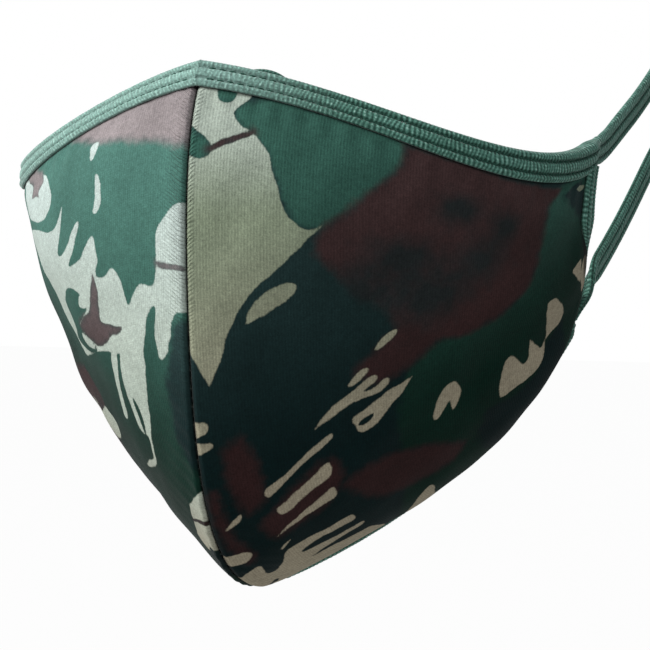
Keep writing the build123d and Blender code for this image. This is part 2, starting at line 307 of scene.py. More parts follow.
LEFT_PRINT = [
    (GREEN, [(80, 17), (104, 5), (104, 104), (40, 104), (37, 86), (41, 72), (40, 60), (42, 51), (50, 46),
        (65, 46), (74, 40), (77, 30)]),
    (BROWN, [(27, 24.5), (33, 21), (40, 15), (44, 12), (45, 6), (60, 7), (76, 12), (85, 16), (80, 21),
        (78.5, 27), (77, 34), (76, 39), (72, 44), (65, 47), (56, 47), (50, 46), (44, 49), (37, 51),
        (31, 48), (36, 45), (41, 42), (39, 38), (33, 36), (30, 32), (25, 28)]),
    (BROWN, [(5, 55), (9, 54), (11.5, 59), (12, 65), (8, 67), (6, 64), (5, 60)]),
    (BROWN, [(0.5, 61), (2.5, 61), (4, 70), (7, 76), (4.5, 77), (1.5, 71)]),
    (BROWN, [(9, 70), (13, 67.5), (18, 65), (24, 62), (27, 62), (28, 66), (24, 70), (18, 72), (12, 73.5)]),
    (BROWN, [(27, 67), (32, 65.5), (38, 65), (46, 67), (55, 73), (52, 76), (42, 75), (33, 73)]),
    (DARK, [(60, 68), (68, 71), (74, 72), (78, 67), (84, 69), (84, 80), (80, 87), (65, 90), (60, 85),
        (57, 75)]),
    (DARK, [(85, 19), (92, 17), (96, 30), (94, 42), (91, 34), (88, 26)]),
    (GREEN, [(9.3, 7), (12, 5.3), (20, 2), (45, 3), (46, 7), (45, 11), (40, 15.5), (33, 21), (27, 24.5),
        (24.3, 24.5), (20.5, 22.3), (19, 19), (18, 15.5), (16.5, 12.2), (14, 10.6), (12, 9.9), (10, 8.5)]),
    (KHAKI, [(-3, 3), (13, 3), (12, 5), (9.5, 6.5), (9, 7.5), (10.5, 8.8), (13, 9.9), (15, 11), (17, 13),
        (18, 17), (19, 20), (20, 22.5), (22.5, 24), (24.5, 25), (27.8, 23.7), (27.8, 23.7), (24.5, 25.7),
        (22, 28), (18, 30.5), (13, 33.5), (10, 36), (8, 39), (6, 42.5), (4.5, 44.7), (3.5, 45.9),
        (3.5, 45.9), (2.5, 44.5), (1, 42), (-3, 36)]),
    (GREEN, [(4, 2), (9.5, 2), (8.5, 5.6), (5.2, 5.6)]),
    (GREEN, [(-3, 7.5), (0, 9), (2, 10.5), (4.5, 12), (5.3, 13), (4, 14.3), (2, 14.4), (-3, 13.5)]),
    (BROWN, [(3.8, 12.6), (9, 10.8), (13.8, 9.3), (13.8, 10.2), (9, 11.9), (3.8, 13.6)]),
    (KHAKI, [(11.3, 38.2), (11.3, 38.2), (12, 36.3), (15, 34), (19, 32.8), (21.3, 32.9), (21.3, 34),
        (19, 35.5), (15, 37.3)]),
    (KHAKI, [(36, 44.8), (36, 44.8), (37.5, 43.2), (40.5, 41.8), (41.4, 41.9), (40.8, 43), (38, 44.7)]),
    (KHAKI, [(29.8, 50.1), (31, 48.9), (33.2, 47.8), (34.7, 47.8), (34.6, 48.6), (31.8, 49.9)]),
    (KHAKI, [(23.2, 56), (23.2, 56), (27.2, 52.8), (32, 50.6), (35.2, 49), (36.6, 49.3), (36.3, 50.2),
        (32.8, 51.7), (35.8, 51.5), (38.2, 50), (39.2, 50.3), (38.8, 51.4), (36.1, 52.7), (32.2, 52.6),
        (28.5, 53.9)]),
    (KHAKI, [(30.3, 56), (31.3, 55.2), (35, 54.2), (38.8, 52.4), (43.8, 51.3), (43.8, 51.3), (40.8, 54.5),
        (37.5, 56.6), (35.2, 58.3), (33, 59.1), (31.6, 58.2), (31.4, 57.3)]),
    (DARK, [(31.6, 56.7), (34.6, 55.6), (35.6, 56), (33.9, 57.3), (32.3, 57.5)]),
    (KHAKI, [(47.8, 62), (48.4, 59.2), (50.2, 56.4), (52.6, 55.6), (54.2, 57), (54.6, 59.4), (53.4, 61.5),
        (52.2, 62.6), (52.2, 62.6), (51.8, 59), (50.2, 61.3), (48.5, 62.6)]),
    (KHAKI, [(11.5, 63.4), (16.3, 62), (24.5, 58.1), (26.6, 57.1), (26.6, 58.4), (21.7, 60.6), (13.3, 64.8),
        (12.3, 65.1)]),
    (KHAKI, [(13.2, 67.9), (14, 67.2), (18.3, 65.8), (25.7, 61.8), (25.7, 64.8), (19.6, 66.8),
        (14.4, 69.2)]),
    (KHAKI, [(12.3, 73), (12.3, 73), (17.5, 70.2), (23.3, 67.9), (25.6, 66.4), (26.3, 69), (23, 69.7),
        (17.2, 71.4)]),
    (KHAKI, [(11.6, 76.5), (13.3, 75.3), (15.3, 74.8), (13, 76.3)]),
    (KHAKI, [(2.6, 68.5), (2.6, 68.5), (4.1, 67.1), (6.6, 65.8), (6.4, 67.4)]),
    (KHAKI, [(-2, 50.6), (2.1, 50.6), (2.8, 52.1), (0, 52.9), (-2, 53)]),
    (KHAKI, [(-2, 53.6), (3.2, 53.7), (3.5, 54.4), (2.4, 55), (-2, 55.5)]),
    (KHAKI, [(-2, 73.5), (1.4, 73.5), (5.7, 74.1), (6, 75.4), (4.2, 76.3), (1, 76), (-2, 76)]),
    (KHAKI, [(-1, 81), (6.2, 78.2), (6.3, 80.6), (6.2, 83.1), (8.6, 83.2), (11.3, 80.6), (12.2, 77.6),
        (15.5, 77.3), (20.2, 76.1), (28.3, 74.7), (29.1, 76.6), (21.3, 77.5), (15.6, 79.4), (15.7, 80.3),
        (23.6, 79.4), (29.9, 78.3), (29.7, 79.5), (24.9, 80.3), (15.7, 83.4), (22.7, 82.4), (31, 81.7),
        (33.5, 86), (33, 91), (27, 95), (18, 97), (10, 96), (4, 93), (0, 88)]),
    (DARK, [(0.6, 91), (0.6, 91), (4.6, 87.3), (7, 87), (4.6, 89)]),
    (KHAKI, [(63, 68), (63.8, 62.8), (65.8, 59), (68, 60), (69.5, 62.8), (69.9, 65.4), (72, 65.2),
        (73.4, 60), (73.4, 60), (74.8, 65.2), (76.3, 67), (78, 64.8), (76.2, 70.3), (74, 71), (70, 69.6),
        (66.2, 68.3)]),
    (KHAKI, [(78.2, 53.3), (80.5, 54.5), (82.3, 58.8), (84.5, 66), (83.3, 68.6), (79.8, 66.2), (77.8, 66.1),
        (77.8, 66.1), (78, 59.7)]),
    (KHAKI, [(88, 55.8), (90.8, 57.6), (93.4, 59.4), (92.7, 65), (91.6, 67.8), (90, 61.3)]),
    (KHAKI, [(90, 20), (92, 19.6), (94.2, 22), (94, 24.5), (92.2, 23.8)]),
    (KHAKI, [(36, 90), (38, 88.5), (42, 81), (45, 78.5), (46, 80), (45.5, 86), (43, 91), (40, 90)]),
    (KHAKI, [(52, 92), (56, 89), (62, 90), (66, 94), (60, 96), (55, 95)]),
    (BROWN, [(34, 97), (42, 93), (50, 97), (44, 101), (36, 101)]),
    (KHAKI, [(92, 66), (95, 62), (98, 70), (96, 80), (93, 76)]),
]

RIGHT_PRINT = [
    (BROWN, [(-3, 1), (20, 1), (42, 2), (40, 5), (36, 6.5), (28, 9), (20, 10), (10, 11), (2, 12.2),
        (-3, 12.5)]),
    (DARK, [(-3, 36), (3, 37), (4.5, 42), (6, 46), (6, 52), (3, 56), (-3, 60)]),
    (KHAKI, [(-3, 20), (2, 20.5), (5, 22.5), (7.5, 25), (7.2, 30), (8, 33), (12, 32.5), (14, 35),
        (16, 36.5), (16.5, 34), (18, 31.5), (20, 30.5), (23, 32.5), (26, 32), (24.5, 29.5), (26.5, 25),
        (30, 28.5), (33, 30.5), (36.5, 31), (33, 27), (31, 24), (31.5, 22.3), (35, 25.5), (37.5, 28),
        (40, 29.2), (42, 28.5), (39.5, 24), (38.5, 19), (38.5, 19), (40, 21), (42, 23.5), (46, 24.3),
        (52, 23.5), (60, 23.3), (62, 25), (60, 29), (52, 35), (46, 43), (40, 48), (30, 45), (20, 44),
        (12, 45), (12, 42), (10.5, 38), (8.5, 35), (7.5, 36), (8, 40), (7.5, 43), (6, 43), (4.5, 41),
        (3.5, 37), (2, 35.5), (-3, 35)]),
    (KHAKI, [(12, 42), (20, 43), (21.5, 46), (21, 51), (20, 55), (17.5, 56.5), (16, 56), (15.6, 58),
        (16, 60), (20, 62), (22, 63), (20, 63), (16, 61.5), (15, 60), (15, 56), (14, 54), (13.5, 50),
        (12, 45)]),
    (KHAKI, [(22, 43), (25, 44.5), (25.5, 50), (25, 55.8), (23.2, 55), (23.5, 50), (22.5, 46)]),
    (GREEN, [(17, 52), (19.5, 50), (18.5, 54), (17, 57), (16.5, 55)]),
    (BROWN, [(18, 39.5), (22, 40), (27, 40), (26, 36), (25.5, 34), (27, 31), (28, 34), (30, 38), (34, 40),
        (37, 41.5), (34, 43), (30, 44.5), (26, 43.5), (23, 41.5), (20, 41)]),
    (GREEN, [(33, 35.5), (38, 34.5), (41, 36), (43, 38), (41, 41), (40, 43), (42.5, 45.3), (38, 46),
        (33, 46), (30, 45), (34, 43), (37, 41.5), (33, 39.5), (31, 37.5), (33, 38), (35, 38), (34, 36)]),
    (KHAKI, [(31, 44.8), (34, 43), (37, 43), (36, 44.5), (33, 45.2)]),
    (GREEN, [(30.5, 46), (36, 48.5), (35, 50), (32, 48)]),
    (KHAKI, [(49, 11), (46, 14), (44.3, 17), (45, 19), (48, 21), (52, 21.8), (60, 20.5), (66, 19), (69, 14),
        (70, 8), (62, 7), (54, 9)]),
    (BROWN, [(50, 12), (53, 9), (60, 7), (66, 8), (58, 12), (58.5, 15.5), (54.5, 14.8), (51.5, 16.3),
        (53.5, 14)]),
    (KHAKI, [(27, 9.5), (28, 8.5), (30.3, 8.5), (30.3, 10), (29, 12.3), (28, 12.3)]),
    (KHAKI, [(26.5, 15), (26, 18), (26, 20.5), (26.5, 21.8), (25, 22), (23.5, 19.8), (24, 17.3),
        (25.5, 15)]),
    (BROWN, [(0, 29.3), (7.3, 28.8), (7.3, 29.7), (0, 30.3)]),
    (KHAKI, [(-3, 59.5), (2, 62), (6, 65), (6.5, 68), (9, 73.5), (6, 75), (3, 73), (-3, 71)]),
    (BROWN, [(-3, 65), (7, 68), (7, 68.7), (-3, 66)]),
    (DARK, [(-3, 72), (3, 72), (6, 75.5), (4, 79), (-3, 80)]),
    # the side that a viewer at the wearer's left doesn't see, in the same hand
    (BROWN, [(72, 3), (90, 4), (98, 14), (96, 30), (84, 36), (74, 30), (70, 18)]),
    (BROWN, [(40, 57), (46, 52), (56, 56), (60, 66), (50, 74), (43, 72), (38, 64)]),
    (DARK, [(62, 42), (74, 40), (84, 50), (80, 62), (68, 60), (60, 52)]),
    (DARK, [(26, 72), (35, 70), (40, 80), (34, 92), (24, 90), (22, 80)]),
    (KHAKI, [(34, 60), (40, 58), (46, 62), (52, 61), (48, 65), (42, 66), (37, 64)]),
    (KHAKI, [(64, 66), (66, 60), (70, 64), (73, 70), (77, 66), (80, 74), (76, 80), (68, 76)]),
    (KHAKI, [(82, 44), (86, 42), (90, 50), (92, 60), (88, 62), (85, 54)]),
    (KHAKI, [(78, 14), (84, 10), (88, 16), (82, 20)]),
    (KHAKI, [(20, 82), (28, 78), (38, 82), (46, 80), (44, 88), (34, 92), (24, 90)]),
    (KHAKI, [(4, 84), (9, 83), (12, 92), (8, 97), (3, 95)]),
    (KHAKI, [(56, 84), (64, 82), (68, 90), (60, 94), (54, 92)]),
]

# soft dark smudges in the brown: centre and half sizes, hundredths of (u, v)
LEFT_SMUDGES = [(57, 19, 6, 4), (43, 29, 8, 4), (61, 31, 7, 5), (48, 37, 10, 5), (33, 36, 6, 5),
                (68, 24, 4, 4), (20, 45, 12, 3)]
RIGHT_SMUDGES = [(84, 22, 6, 5), (42, 63, 6, 5), (3, 47, 3, 6)]
PRINT_SCALE = np.array((1.25, 1.6))     # mm on the fabric for a hundredth of u and of v
WOBBLE, WOBBLE_LENGTH = 0.3, 9          # mm: how far a printed edge strays, and over what length
FAR = 4.0                               # mm: depths in an ink's area are cut off here


def rounded(outline, passes=2, longest=1.1):
    """Puts a closed outline in mm and cuts its corners, never by more than the
    longest cut; a doubled point stays a sharp tip."""
    points = np.array(outline, float) * PRINT_SCALE
    for _ in range(passes):
        onward = np.roll(points, -1, axis=0)
        edge = np.linalg.norm(onward - points, axis=1, keepdims=True)
        share = np.minimum(0.25, longest / np.maximum(edge, 1e-9))
        points = np.stack([points + share * (onward - points), onward - share * (onward - points)], 1)
        points = points.reshape(-1, 2)
    return points


def inside_distance(spots, outline):
    """Signed distance to a closed outline in mm, positive inside."""
    a = outline
    b = np.roll(outline, -1, axis=0)
    best = np.full(len(spots), 1e9)
    inside = np.zeros(len(spots), bool)
    for p, q in zip(a, b):
        edge = q - p
        size = edge @ edge
        if size < 1e-12:
            continue
        share = np.clip(((spots - p) @ edge) / size, 0, 1)
        gap = spots - p - share[:, None] * edge
        best = np.minimum(best, (gap**2).sum(1))
        if p[1] != q[1]:
            above = (spots[:, 1] > p[1]) != (spots[:, 1] > q[1])
            crossing = p[0] + (spots[:, 1] - p[1]) / (q[1] - p[1]) * edge[0]
            inside ^= above & (spots[:, 0] < crossing)
    distance = np.sqrt(best)
    return np.where(inside, distance, -distance)


def camouflage(u, v, prints, smudges, base, seed):
    """How far each vertex is inside each ink's area, mm, and the soft smudges.
    Khaki prints last, so it hides the other inks and doesn't push them back."""
    spots = np.stack([u * 100, v * 100], -1) * PRINT_SCALE
    wobble = np.concatenate([spots, np.zeros((len(spots), 1))], 1)
    strays = [waves(wobble, WOBBLE_LENGTH, seed), waves(wobble, WOBBLE_LENGTH, seed + 1)]
    spots = spots + WOBBLE * np.stack(strays, -1)
    fields = {ink: np.full(len(spots), -FAR) for ink in (KHAKI, GREEN, BROWN, DARK)}
    fields[base] += 2 * FAR
    for ink, outline in prints:
        shape = rounded(outline)
        low, high = shape.min(0) - FAR, shape.max(0) + FAR
        near = np.all((spots > low) & (spots < high), axis=1)
        depth = np.clip(inside_distance(spots[near], shape), -FAR, FAR)
        for other, field in fields.items():
            if other == ink:
                field[near] = np.maximum(field[near], depth)
            elif ink != KHAKI:
                field[near] = np.minimum(field[near], -depth)
    soft = np.zeros(len(spots))
    for x, y, wide, tall in smudges:
        soft += np.exp(-(((u * 100 - x) / wide) ** 2 + ((v * 100 - y) / tall) ** 2))
    fields["smudge"] = np.clip(soft, 0, 1)
    return fields


# ---------------------------------------------------------------- materials
def linear(r, g, b):
    """sRGB 0-255 to linear."""
    def one(c):
        c /= 255
        return c / 12.92 if c <= 0.04045 else ((c + 0.055) / 1.055) ** 2.4
    return (one(r), one(g), one(b), 1.0)


class Nodes:
    """A small helper to build one node tree."""

    def __init__(self, tree):
        self.tree = tree

    def node(self, kind, inputs=None, **settings):
        made = self.tree.nodes.new(kind)
        for key, value in settings.items():
            setattr(made, key, value)
        for key, value in (inputs or {}).items():
            if isinstance(value, bpy.types.NodeSocket):
                self.tree.links.new(value, made.inputs[key])
            else:
                made.inputs[key].default_value = value
        return made

    def maths(self, operation, a, b=0.0):
        return self.node("ShaderNodeMath", {0: a, 1: b}, operation=operation).outputs[0]

    def plus(self, a, b):
        return self.maths("ADD", a, b)

    def times(self, a, b):
        return self.maths("MULTIPLY", a, b)

    def swing(self, value, gain):
        """A value around 0.5 turned into one around 0."""
        return self.times(self.maths("SUBTRACT", value, 0.5), gain)

    def field(self, name):
        return self.node("ShaderNodeAttribute", attribute_name=name).outputs["Fac"]

    def position(self):
        return self.node("ShaderNodeTexCoord").outputs["Object"]

    def noise(self, scale, detail=3.0, vector=None):
        inputs = {"Scale": scale, "Detail": detail, "Vector": vector or self.position()}
        return self.node("ShaderNodeTexNoise", inputs).outputs["Fac"]

    def spread(self, value, low, high, to_low=0.0, to_high=1.0, smooth=False):
        kind = "SMOOTHSTEP" if smooth else "LINEAR"
        inputs = {"Value": value, "From Min": low, "From Max": high, "To Min": to_low, "To Max": to_high}
        return self.node("ShaderNodeMapRange", inputs, interpolation_type=kind).outputs[0]

    def mottle(self, scale, detail, to_low=0.0, to_high=1.0):
        """Soft noise stretched over a range."""
        return self.spread(self.noise(scale, detail), 0.3, 0.7, to_low, to_high)

    def mix(self, factor, a, b, blend="MIX"):
        inputs = {0: factor, 6: a, 7: b}
        return self.node("ShaderNodeMix", inputs, data_type="RGBA", blend_type=blend).outputs[2]

    def brightened(self, colour, gain):
        """colour times a grey made from a value near 1."""
        grey = self.node("ShaderNodeCombineColor", {"Red": gain, "Green": gain, "Blue": gain})
        return self.mix(1.0, colour, grey.outputs[0], blend="MULTIPLY")

    def split_by_ray(self, shown, other, output, share=1.0):
        """The camera sees a share of one shader; all other rays meet the other one."""
        ray = self.node("ShaderNodeLightPath").outputs["Is Camera Ray"]
        factor = self.times(ray, share)
        both = self.node("ShaderNodeMixShader", {0: factor, 1: other.outputs[0], 2: shown.outputs[0]})
        self.tree.links.new(both.outputs[0], self.tree.nodes[output].inputs["Surface"])


class Shader(Nodes):
    """A principled material."""

    def __init__(self, name, roughness, sheen=0.0, sheen_roughness=0.5, specular=0.3):
        self.material = bpy.data.materials.new(name)
        self.material.use_nodes = True
        super().__init__(self.material.node_tree)
        self.out = self.tree.nodes["Principled BSDF"]
        look = {"Roughness": roughness, "Sheen Weight": sheen, "Sheen Roughness": sheen_roughness,
                "Specular IOR Level": specular}
        for key, value in look.items():
            self.out.inputs[key].default_value = value

    def colour(self, socket):
        self.tree.links.new(socket, self.out.inputs["Base Color"])

    def bump(self, height, strength, distance, onto=None):
        inputs = {"Height": height, "Strength": strength, "Distance": distance}
        if onto is not None:
            inputs["Normal"] = onto
        return self.node("ShaderNodeBump", inputs).outputs["Normal"]

    def normal(self, socket):
        self.tree.links.new(socket, self.out.inputs["Normal"])

    def on_cloth(self):
        """Place on the UV map in metres: from the seam, and from the top edge."""
        uv = self.node("ShaderNodeUVMap", uv_map="UVMap").outputs["UV"]
        parts = self.node("ShaderNodeSeparateXYZ", {"Vector": uv})
        return parts.outputs["X"], parts.outputs["Y"]

    def wave(self, value, pitch):
        return self.maths("SINE", self.times(value, 2 * math.pi / pitch))

    def knit(self, wale, course):
        """Height 0-1 of jersey loops."""
        x, y = self.on_cloth()
        across = self.wave(x, wale)
        lean = self.times(self.maths("ABSOLUTE", across), 1.2)
        along = self.maths("SINE", self.plus(self.times(y, 2 * math.pi / course), lean))
        return self.plus(self.plus(self.times(across, 0.36), self.times(along, 0.14)), 0.5)

    def pleats(self, pitch, lean):
        """Height 0-1 of small slanting pleats, uneven along their run."""
        x, y = self.on_cloth()
        slant = self.plus(y, self.times(x, lean))
        drift = self.times(self.noise(260, 2.0), 1.6 * pitch)
        return self.spread(self.wave(self.plus(slant, drift), pitch), -1, 1)


def camo_material():
    """Printed brushed jersey: khaki with clean edges over dark inks that run
    into each other, with painted shade towards the chin (warm painted bounce light on the khaki there),
    painted sheen on the far half, painted light on the khaki up top and painted shadow along the tapes and
    the seam."""
    m = Shader("camo_jersey", roughness=0.9, sheen=0.07, sheen_roughness=0.4, specular=0.06)
    painted_chin_light, painted_sheen, smudge = m.field("painted_chin_light"), m.field("painted_sheen"), m.field("smudge")
    crisp = m.swing(m.noise(1500, 2.0), 0.45)
    ragged = m.swing(m.noise(420, 4.0), 3.2)

    def mask(ink, bleed, edge):
        return m.spread(m.plus(m.field(ink), bleed), -edge, edge, smooth=True)

    def ink(top, low, sheen_colour):
        """An ink's colour at the nose, its painted-shade colour at the chin, and its colour under painted
        sheen.
        """
        # painted shade: the ink darkens towards the chin
        shade = m.mix(painted_chin_light, linear(*top), linear(*low))
        # painted sheen: the ink pales where the light grazes the far half
        return m.mix(painted_sheen, shade, linear(*sheen_colour))

    # each ink: lit colour at the nose, painted-shade colour at the chin, painted-sheen colour
    dark = ink((38, 58, 58), (8, 29, 30), (60, 82, 80))
    green = ink((54, 93, 82), (7, 38, 29), (78, 120, 110))
    brown = ink((68, 50, 50), (54, 34, 34), (148, 139, 140))
    # khaki turns warmer and lighter towards the chin: painted bounce light
    khaki = m.mix(painted_chin_light, linear(136, 148, 125), linear(168, 158, 137))
    # painted light on the khaki up top (lit), paler still under painted sheen
    khaki = m.mix(m.field("lit"), khaki, m.mix(painted_sheen, linear(176, 187, 175), linear(192, 206, 202)))
    blotted = m.plus(smudge, m.swing(m.noise(230, 5.0), 0.9))
    brown = m.mix(m.spread(blotted, 0.1, 0.95, 0.0, 0.8), brown, linear(28, 42, 43))
    ground = m.mix(mask(GREEN, ragged, 1.4), dark, green)
    ground = m.mix(mask(BROWN, ragged, 2.0), ground, brown)
    ground = m.brightened(ground, m.mottle(45, 4.0, 0.86, 1.14))
    ground = m.mix(mask(KHAKI, crisp, 0.25), ground, khaki)
    fibre = m.noise(2600, 3.0)
    knit = m.knit(0.8 * MM, 0.62 * MM)
    grain = m.plus(m.spread(fibre, 0.25, 0.75, 0.74, 1.18), m.spread(knit, 0, 1, -0.1, 0.08))
    grain = m.times(grain, m.mottle(900, 3.0, 0.88, 1.12))
    fade = m.mottle(140, 3.0, 0.93, 1.05)
    # painted shadow along the tapes' edges and in the seam's crease
    shadow = m.spread(m.field("painted_shadow"), 0, 1, 1.0, 0.22)
    m.colour(m.brightened(ground, m.times(shadow, m.times(grain, fade))))
    pleats = m.times(m.field("pleat"), m.pleats(1.05 * MM, 0.75))
    surface = m.bump(knit, 0.35, 0.12 * MM)
    surface = m.bump(pleats, 0.9, 0.4 * MM, onto=surface)
    m.normal(m.bump(fibre, 0.6, 0.14 * MM, onto=surface))
    return m.material


def lining_material():
    """Plain fine jersey, dark olive."""
    m = Shader("lining_jersey", roughness=0.92, sheen=0.12, specular=0.2)
    fibre = m.noise(2200, 3.0)
    knit = m.knit(1.0 * MM, 0.8 * MM)
    shade = m.mix(m.mottle(60, 3.0), linear(58, 66, 56), linear(72, 80, 68))
    grain = m.plus(m.spread(fibre, 0.25, 0.75, 0.88, 1.1), m.spread(knit, 0, 1, -0.1, 0.08))
    m.colour(m.brightened(shade, grain))
    surface = m.bump(knit, 0.6, 0.18 * MM)
    m.normal(m.bump(fibre, 0.4, 0.1 * MM, onto=surface))
    return m.material


def tape_material():
    """Ribbed elastic tape: painted highlights on the rib crests, painted shade between them and in the
    grooves, painted sheen where the light grazes it, fine yarn.
    """
    m = Shader("binding_tape", roughness=0.75, sheen=0.3, sheen_roughness=0.35, specular=0.2)
    rib = m.field("rib")
    yarn = m.noise(1500, 3.0)
    body = m.mix(m.mottle(90, 3.0), linear(84, 134, 118), linear(100, 153, 138))
    # painted shade in the ribs' dents and the stitched grooves
    body = m.mix(m.spread(rib, 0.1, 0.75, smooth=True), linear(38, 74, 63), body)
    # painted sheen: the tape pales where the light grazes it
    body = m.mix(m.times(m.field("painted_sheen"), 0.4), body, linear(182, 216, 208))
    # painted highlights on the rib crests
    crest = m.times(m.spread(rib, 0.6, 1.0), m.spread(yarn, 0.4, 0.62))
    body = m.mix(m.times(crest, 0.8), body, linear(196, 228, 218))
    m.colour(m.brightened(body, m.spread(yarn, 0.3, 0.7, 0.62, 1.22)))
    m.normal(m.bump(yarn, 0.9, 0.35 * MM))
    return m.material


def thread_material(name, low, high):
    """Spun thread with fine twist."""
    m = Shader(name, roughness=0.8, sheen=0.05, specular=0.12)
    twist = m.noise(4200, 2.0)
    m.colour(m.mix(m.spread(twist, 0.3, 0.7), linear(*low), linear(*high)))
    m.normal(m.bump(twist, 0.6, 0.08 * MM))
    return m.material


CAMO = camo_material()
PLAIN = lining_material()
TAPE_LOOK = tape_material()
GREEN_THREAD = thread_material("green_thread", (22, 50, 42), (54, 98, 84))
SEAM_THREAD = thread_material("seam_thread", (20, 26, 24), (40, 46, 42))


# ---------------------------------------------------------------- panels and lining
PANEL_ACROSS, PANEL_DOWN = 190, 250     # points of the panel's grid
WRINKLE = 0.6               # heights of the cloth's relief, mm: wrinkles all over,
FAN = 0.75                  # folds that fan out from the lower side corner,
GATHER = 0.22               # gathers under the top tape,
SEAM_ROLL = 1.3             # the roll into the seam,
PUCKER = 0.42               # the near half's puckers at its stitches,
RIPPLE = 0.12               # and ripples that slant away from the seam
SEAM_PLEAT = 0.13           # the far half's small pleats at the nose


def panel_grid():
    """Parameters of the panel's grid, denser near the seam."""
    across = np.linspace(0, 1, PANEL_ACROSS)
    u = 0.35 * across**2 + 0.65 * across
    v = np.linspace(0, 1, PANEL_DOWN)
    v, u = np.meshgrid(v, u, indexing="ij")
    return u, v


def panel_relief(u, v, points, side):
    """Height added to the cloth, mm: soft wrinkles, seam roll and its puckers."""
    from_seam, down_seam = cloth_distances(points)
    to_side = from_seam[:, -1:] - from_seam
    to_bottom = down_seam[-1:, :] - down_seam
    open_cloth = (smoothstep(down_seam, TAPE_WIDTH, 15) * smoothstep(to_bottom, TAPE_WIDTH, 15)
                  * smoothstep(to_side, TAPE_WIDTH, 15) * smoothstep(from_seam, 1, 8))
    relief = WRINKLE * waves(points, 42, 3 if side == "left" else 4) * open_cloth
    fan = np.arctan2(1.02 - v, 1.12 - u)
    sweep = hump(u, 0.78, 0.2) * hump(v, 0.62, 0.3)
    relief += FAN * np.sin(fan * 15 + 1.5 * np.sin(v * 7)) * sweep * open_cloth
    gather = hump(down_seam, TAPE_WIDTH, 5.0) * smoothstep(down_seam, 6.5, 9)
    relief += GATHER * np.sin(from_seam * 2 * math.pi / 6.5 + 2 * np.sin(from_seam / 17)) * gather
    # the seam allowance turns in: the cloth rolls down to the stitch line
    relief -= SEAM_ROLL * hump(from_seam, 0, 0.6)
    high_up = 1 - smoothstep(v, 0.22, 0.4)
    if side == "left":
        beat = np.abs(np.sin(down_seam * math.pi / 3.1 + 0.8 * np.sin(down_seam / 5)))
        relief += (PUCKER * beat - 0.16) * high_up * hump(from_seam, 1.0, 0.9)
        ripple = RIPPLE * np.sin((down_seam - 0.5 * from_seam) * 2 * math.pi / 5.2)
        relief += ripple * np.exp(-from_seam / 9) * smoothstep(from_seam, 0.5, 3)
    else:
        lean = down_seam + 0.75 * from_seam
        relief += SEAM_PLEAT * np.sin(lean * 2 * math.pi / 2.6) * high_up * hump(from_seam, 2, 2.6)
        relief += RIPPLE * np.sin(lean * 2 * math.pi / 5.0) * np.exp(-from_seam / 9)
    return relief


def cloth_marks(u, v, points, side):
    """0-1 marks on the cloth: painted shade towards the chin, painted sheen on the far half, painted light
    on the khaki up top, painted shadow at the tapes and the seam, seam pleats.
    """
    from_seam, down_seam = cloth_distances(points)
    strip_top, strip_end = TAPE_SPAN["side"]
    on_side = smoothstep(v, strip_top - 0.02, strip_top) * (1 - smoothstep(v, strip_end - 0.02, strip_end))
    to_side = from_seam[:, -1:] - from_seam + 20 * (1 - on_side)
    to_tape = np.minimum(np.minimum(down_seam, down_seam[-1:, :] - down_seam), to_side) - REACH
    # painted sheen on the far (right) half, fading out downwards
    far_sheen = 1 - smoothstep(v, 0.08, 0.55) if side == "right" else 0 * v
    reach, near = (4.5, 1.0) if side == "right" else (1.3, 0.25)
    return {
        # painted shade towards the chin, with warm painted bounce light on the khaki
        "painted_chin_light": smoothstep(v + 0.12 * u, 0.2, 0.68),
        "painted_sheen": far_sheen,
        # painted light on the upper khaki
        "lit": 1 - smoothstep(v, 0.5, 0.85) if side == "right" else 1 - smoothstep(v, 0.08, 0.24),
        # painted shadow under the tapes' edges and in the seam's crease
        "painted_shadow": np.maximum(1 - smoothstep(to_tape, 0.1, 0.75), 0.9 * hump(from_seam, 0, 0.35)),
        "pleat": hump(np.maximum(from_seam - near, 0), 0, reach) * (1 - smoothstep(v, 0.2, 0.5)),
    }


U, V = panel_grid()
CLOTH = fabric(U, V)
NORMAL = outward(U, V)


def uv_of(points):
    return np.stack(cloth_distances(points), -1).reshape(-1, 2) * MM


def off_the_centre(points):
    """Keeps a half's points on its own side of the centre plane."""
    points[..., 0] = np.maximum(points[..., 0], SEAM_HALF)
    return points


def follow_halves(piece, side="left", edge="top"):
    """A side strip is parented to its half's empty; every other piece has its transform baked into its
    mesh.
    """
    if edge == "side":
        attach(piece, f"{side}_half")
    else:
        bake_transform(piece)


def finish_cloth(piece, side, node):
    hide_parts(f"{side}_{node}")
    follow_halves(piece)


def outer_panel(side):
    relief = panel_relief(U, V, CLOTH, side)
    skin = off_the_centre(CLOTH + NORMAL * (FABRIC + relief)[..., None])
    back = off_the_centre(CLOTH + NORMAL * np.minimum(HIDDEN, FABRIC + relief - THIN)[..., None])
    verts, faces = slab(skin, back)
    prints, smudges, base, seed = (
        (LEFT_PRINT, LEFT_SMUDGES, DARK, 21) if side == "left" else (RIGHT_PRINT, RIGHT_SMUDGES, GREEN, 31)
    )
    fields = camouflage(U.ravel(), V.ravel(), prints, smudges, base, seed)
    fields |= cloth_marks(U, V, CLOTH, side)
    fields = {name: np.tile(values.ravel(), 2) for name, values in fields.items()}
    piece = make_piece(f"{side}_panel_cloth", verts, faces, CAMO, side,
                       uv=np.tile(uv_of(CLOTH), (2, 1)), fields=fields)
    finish_cloth(piece, side, "outer_panel")


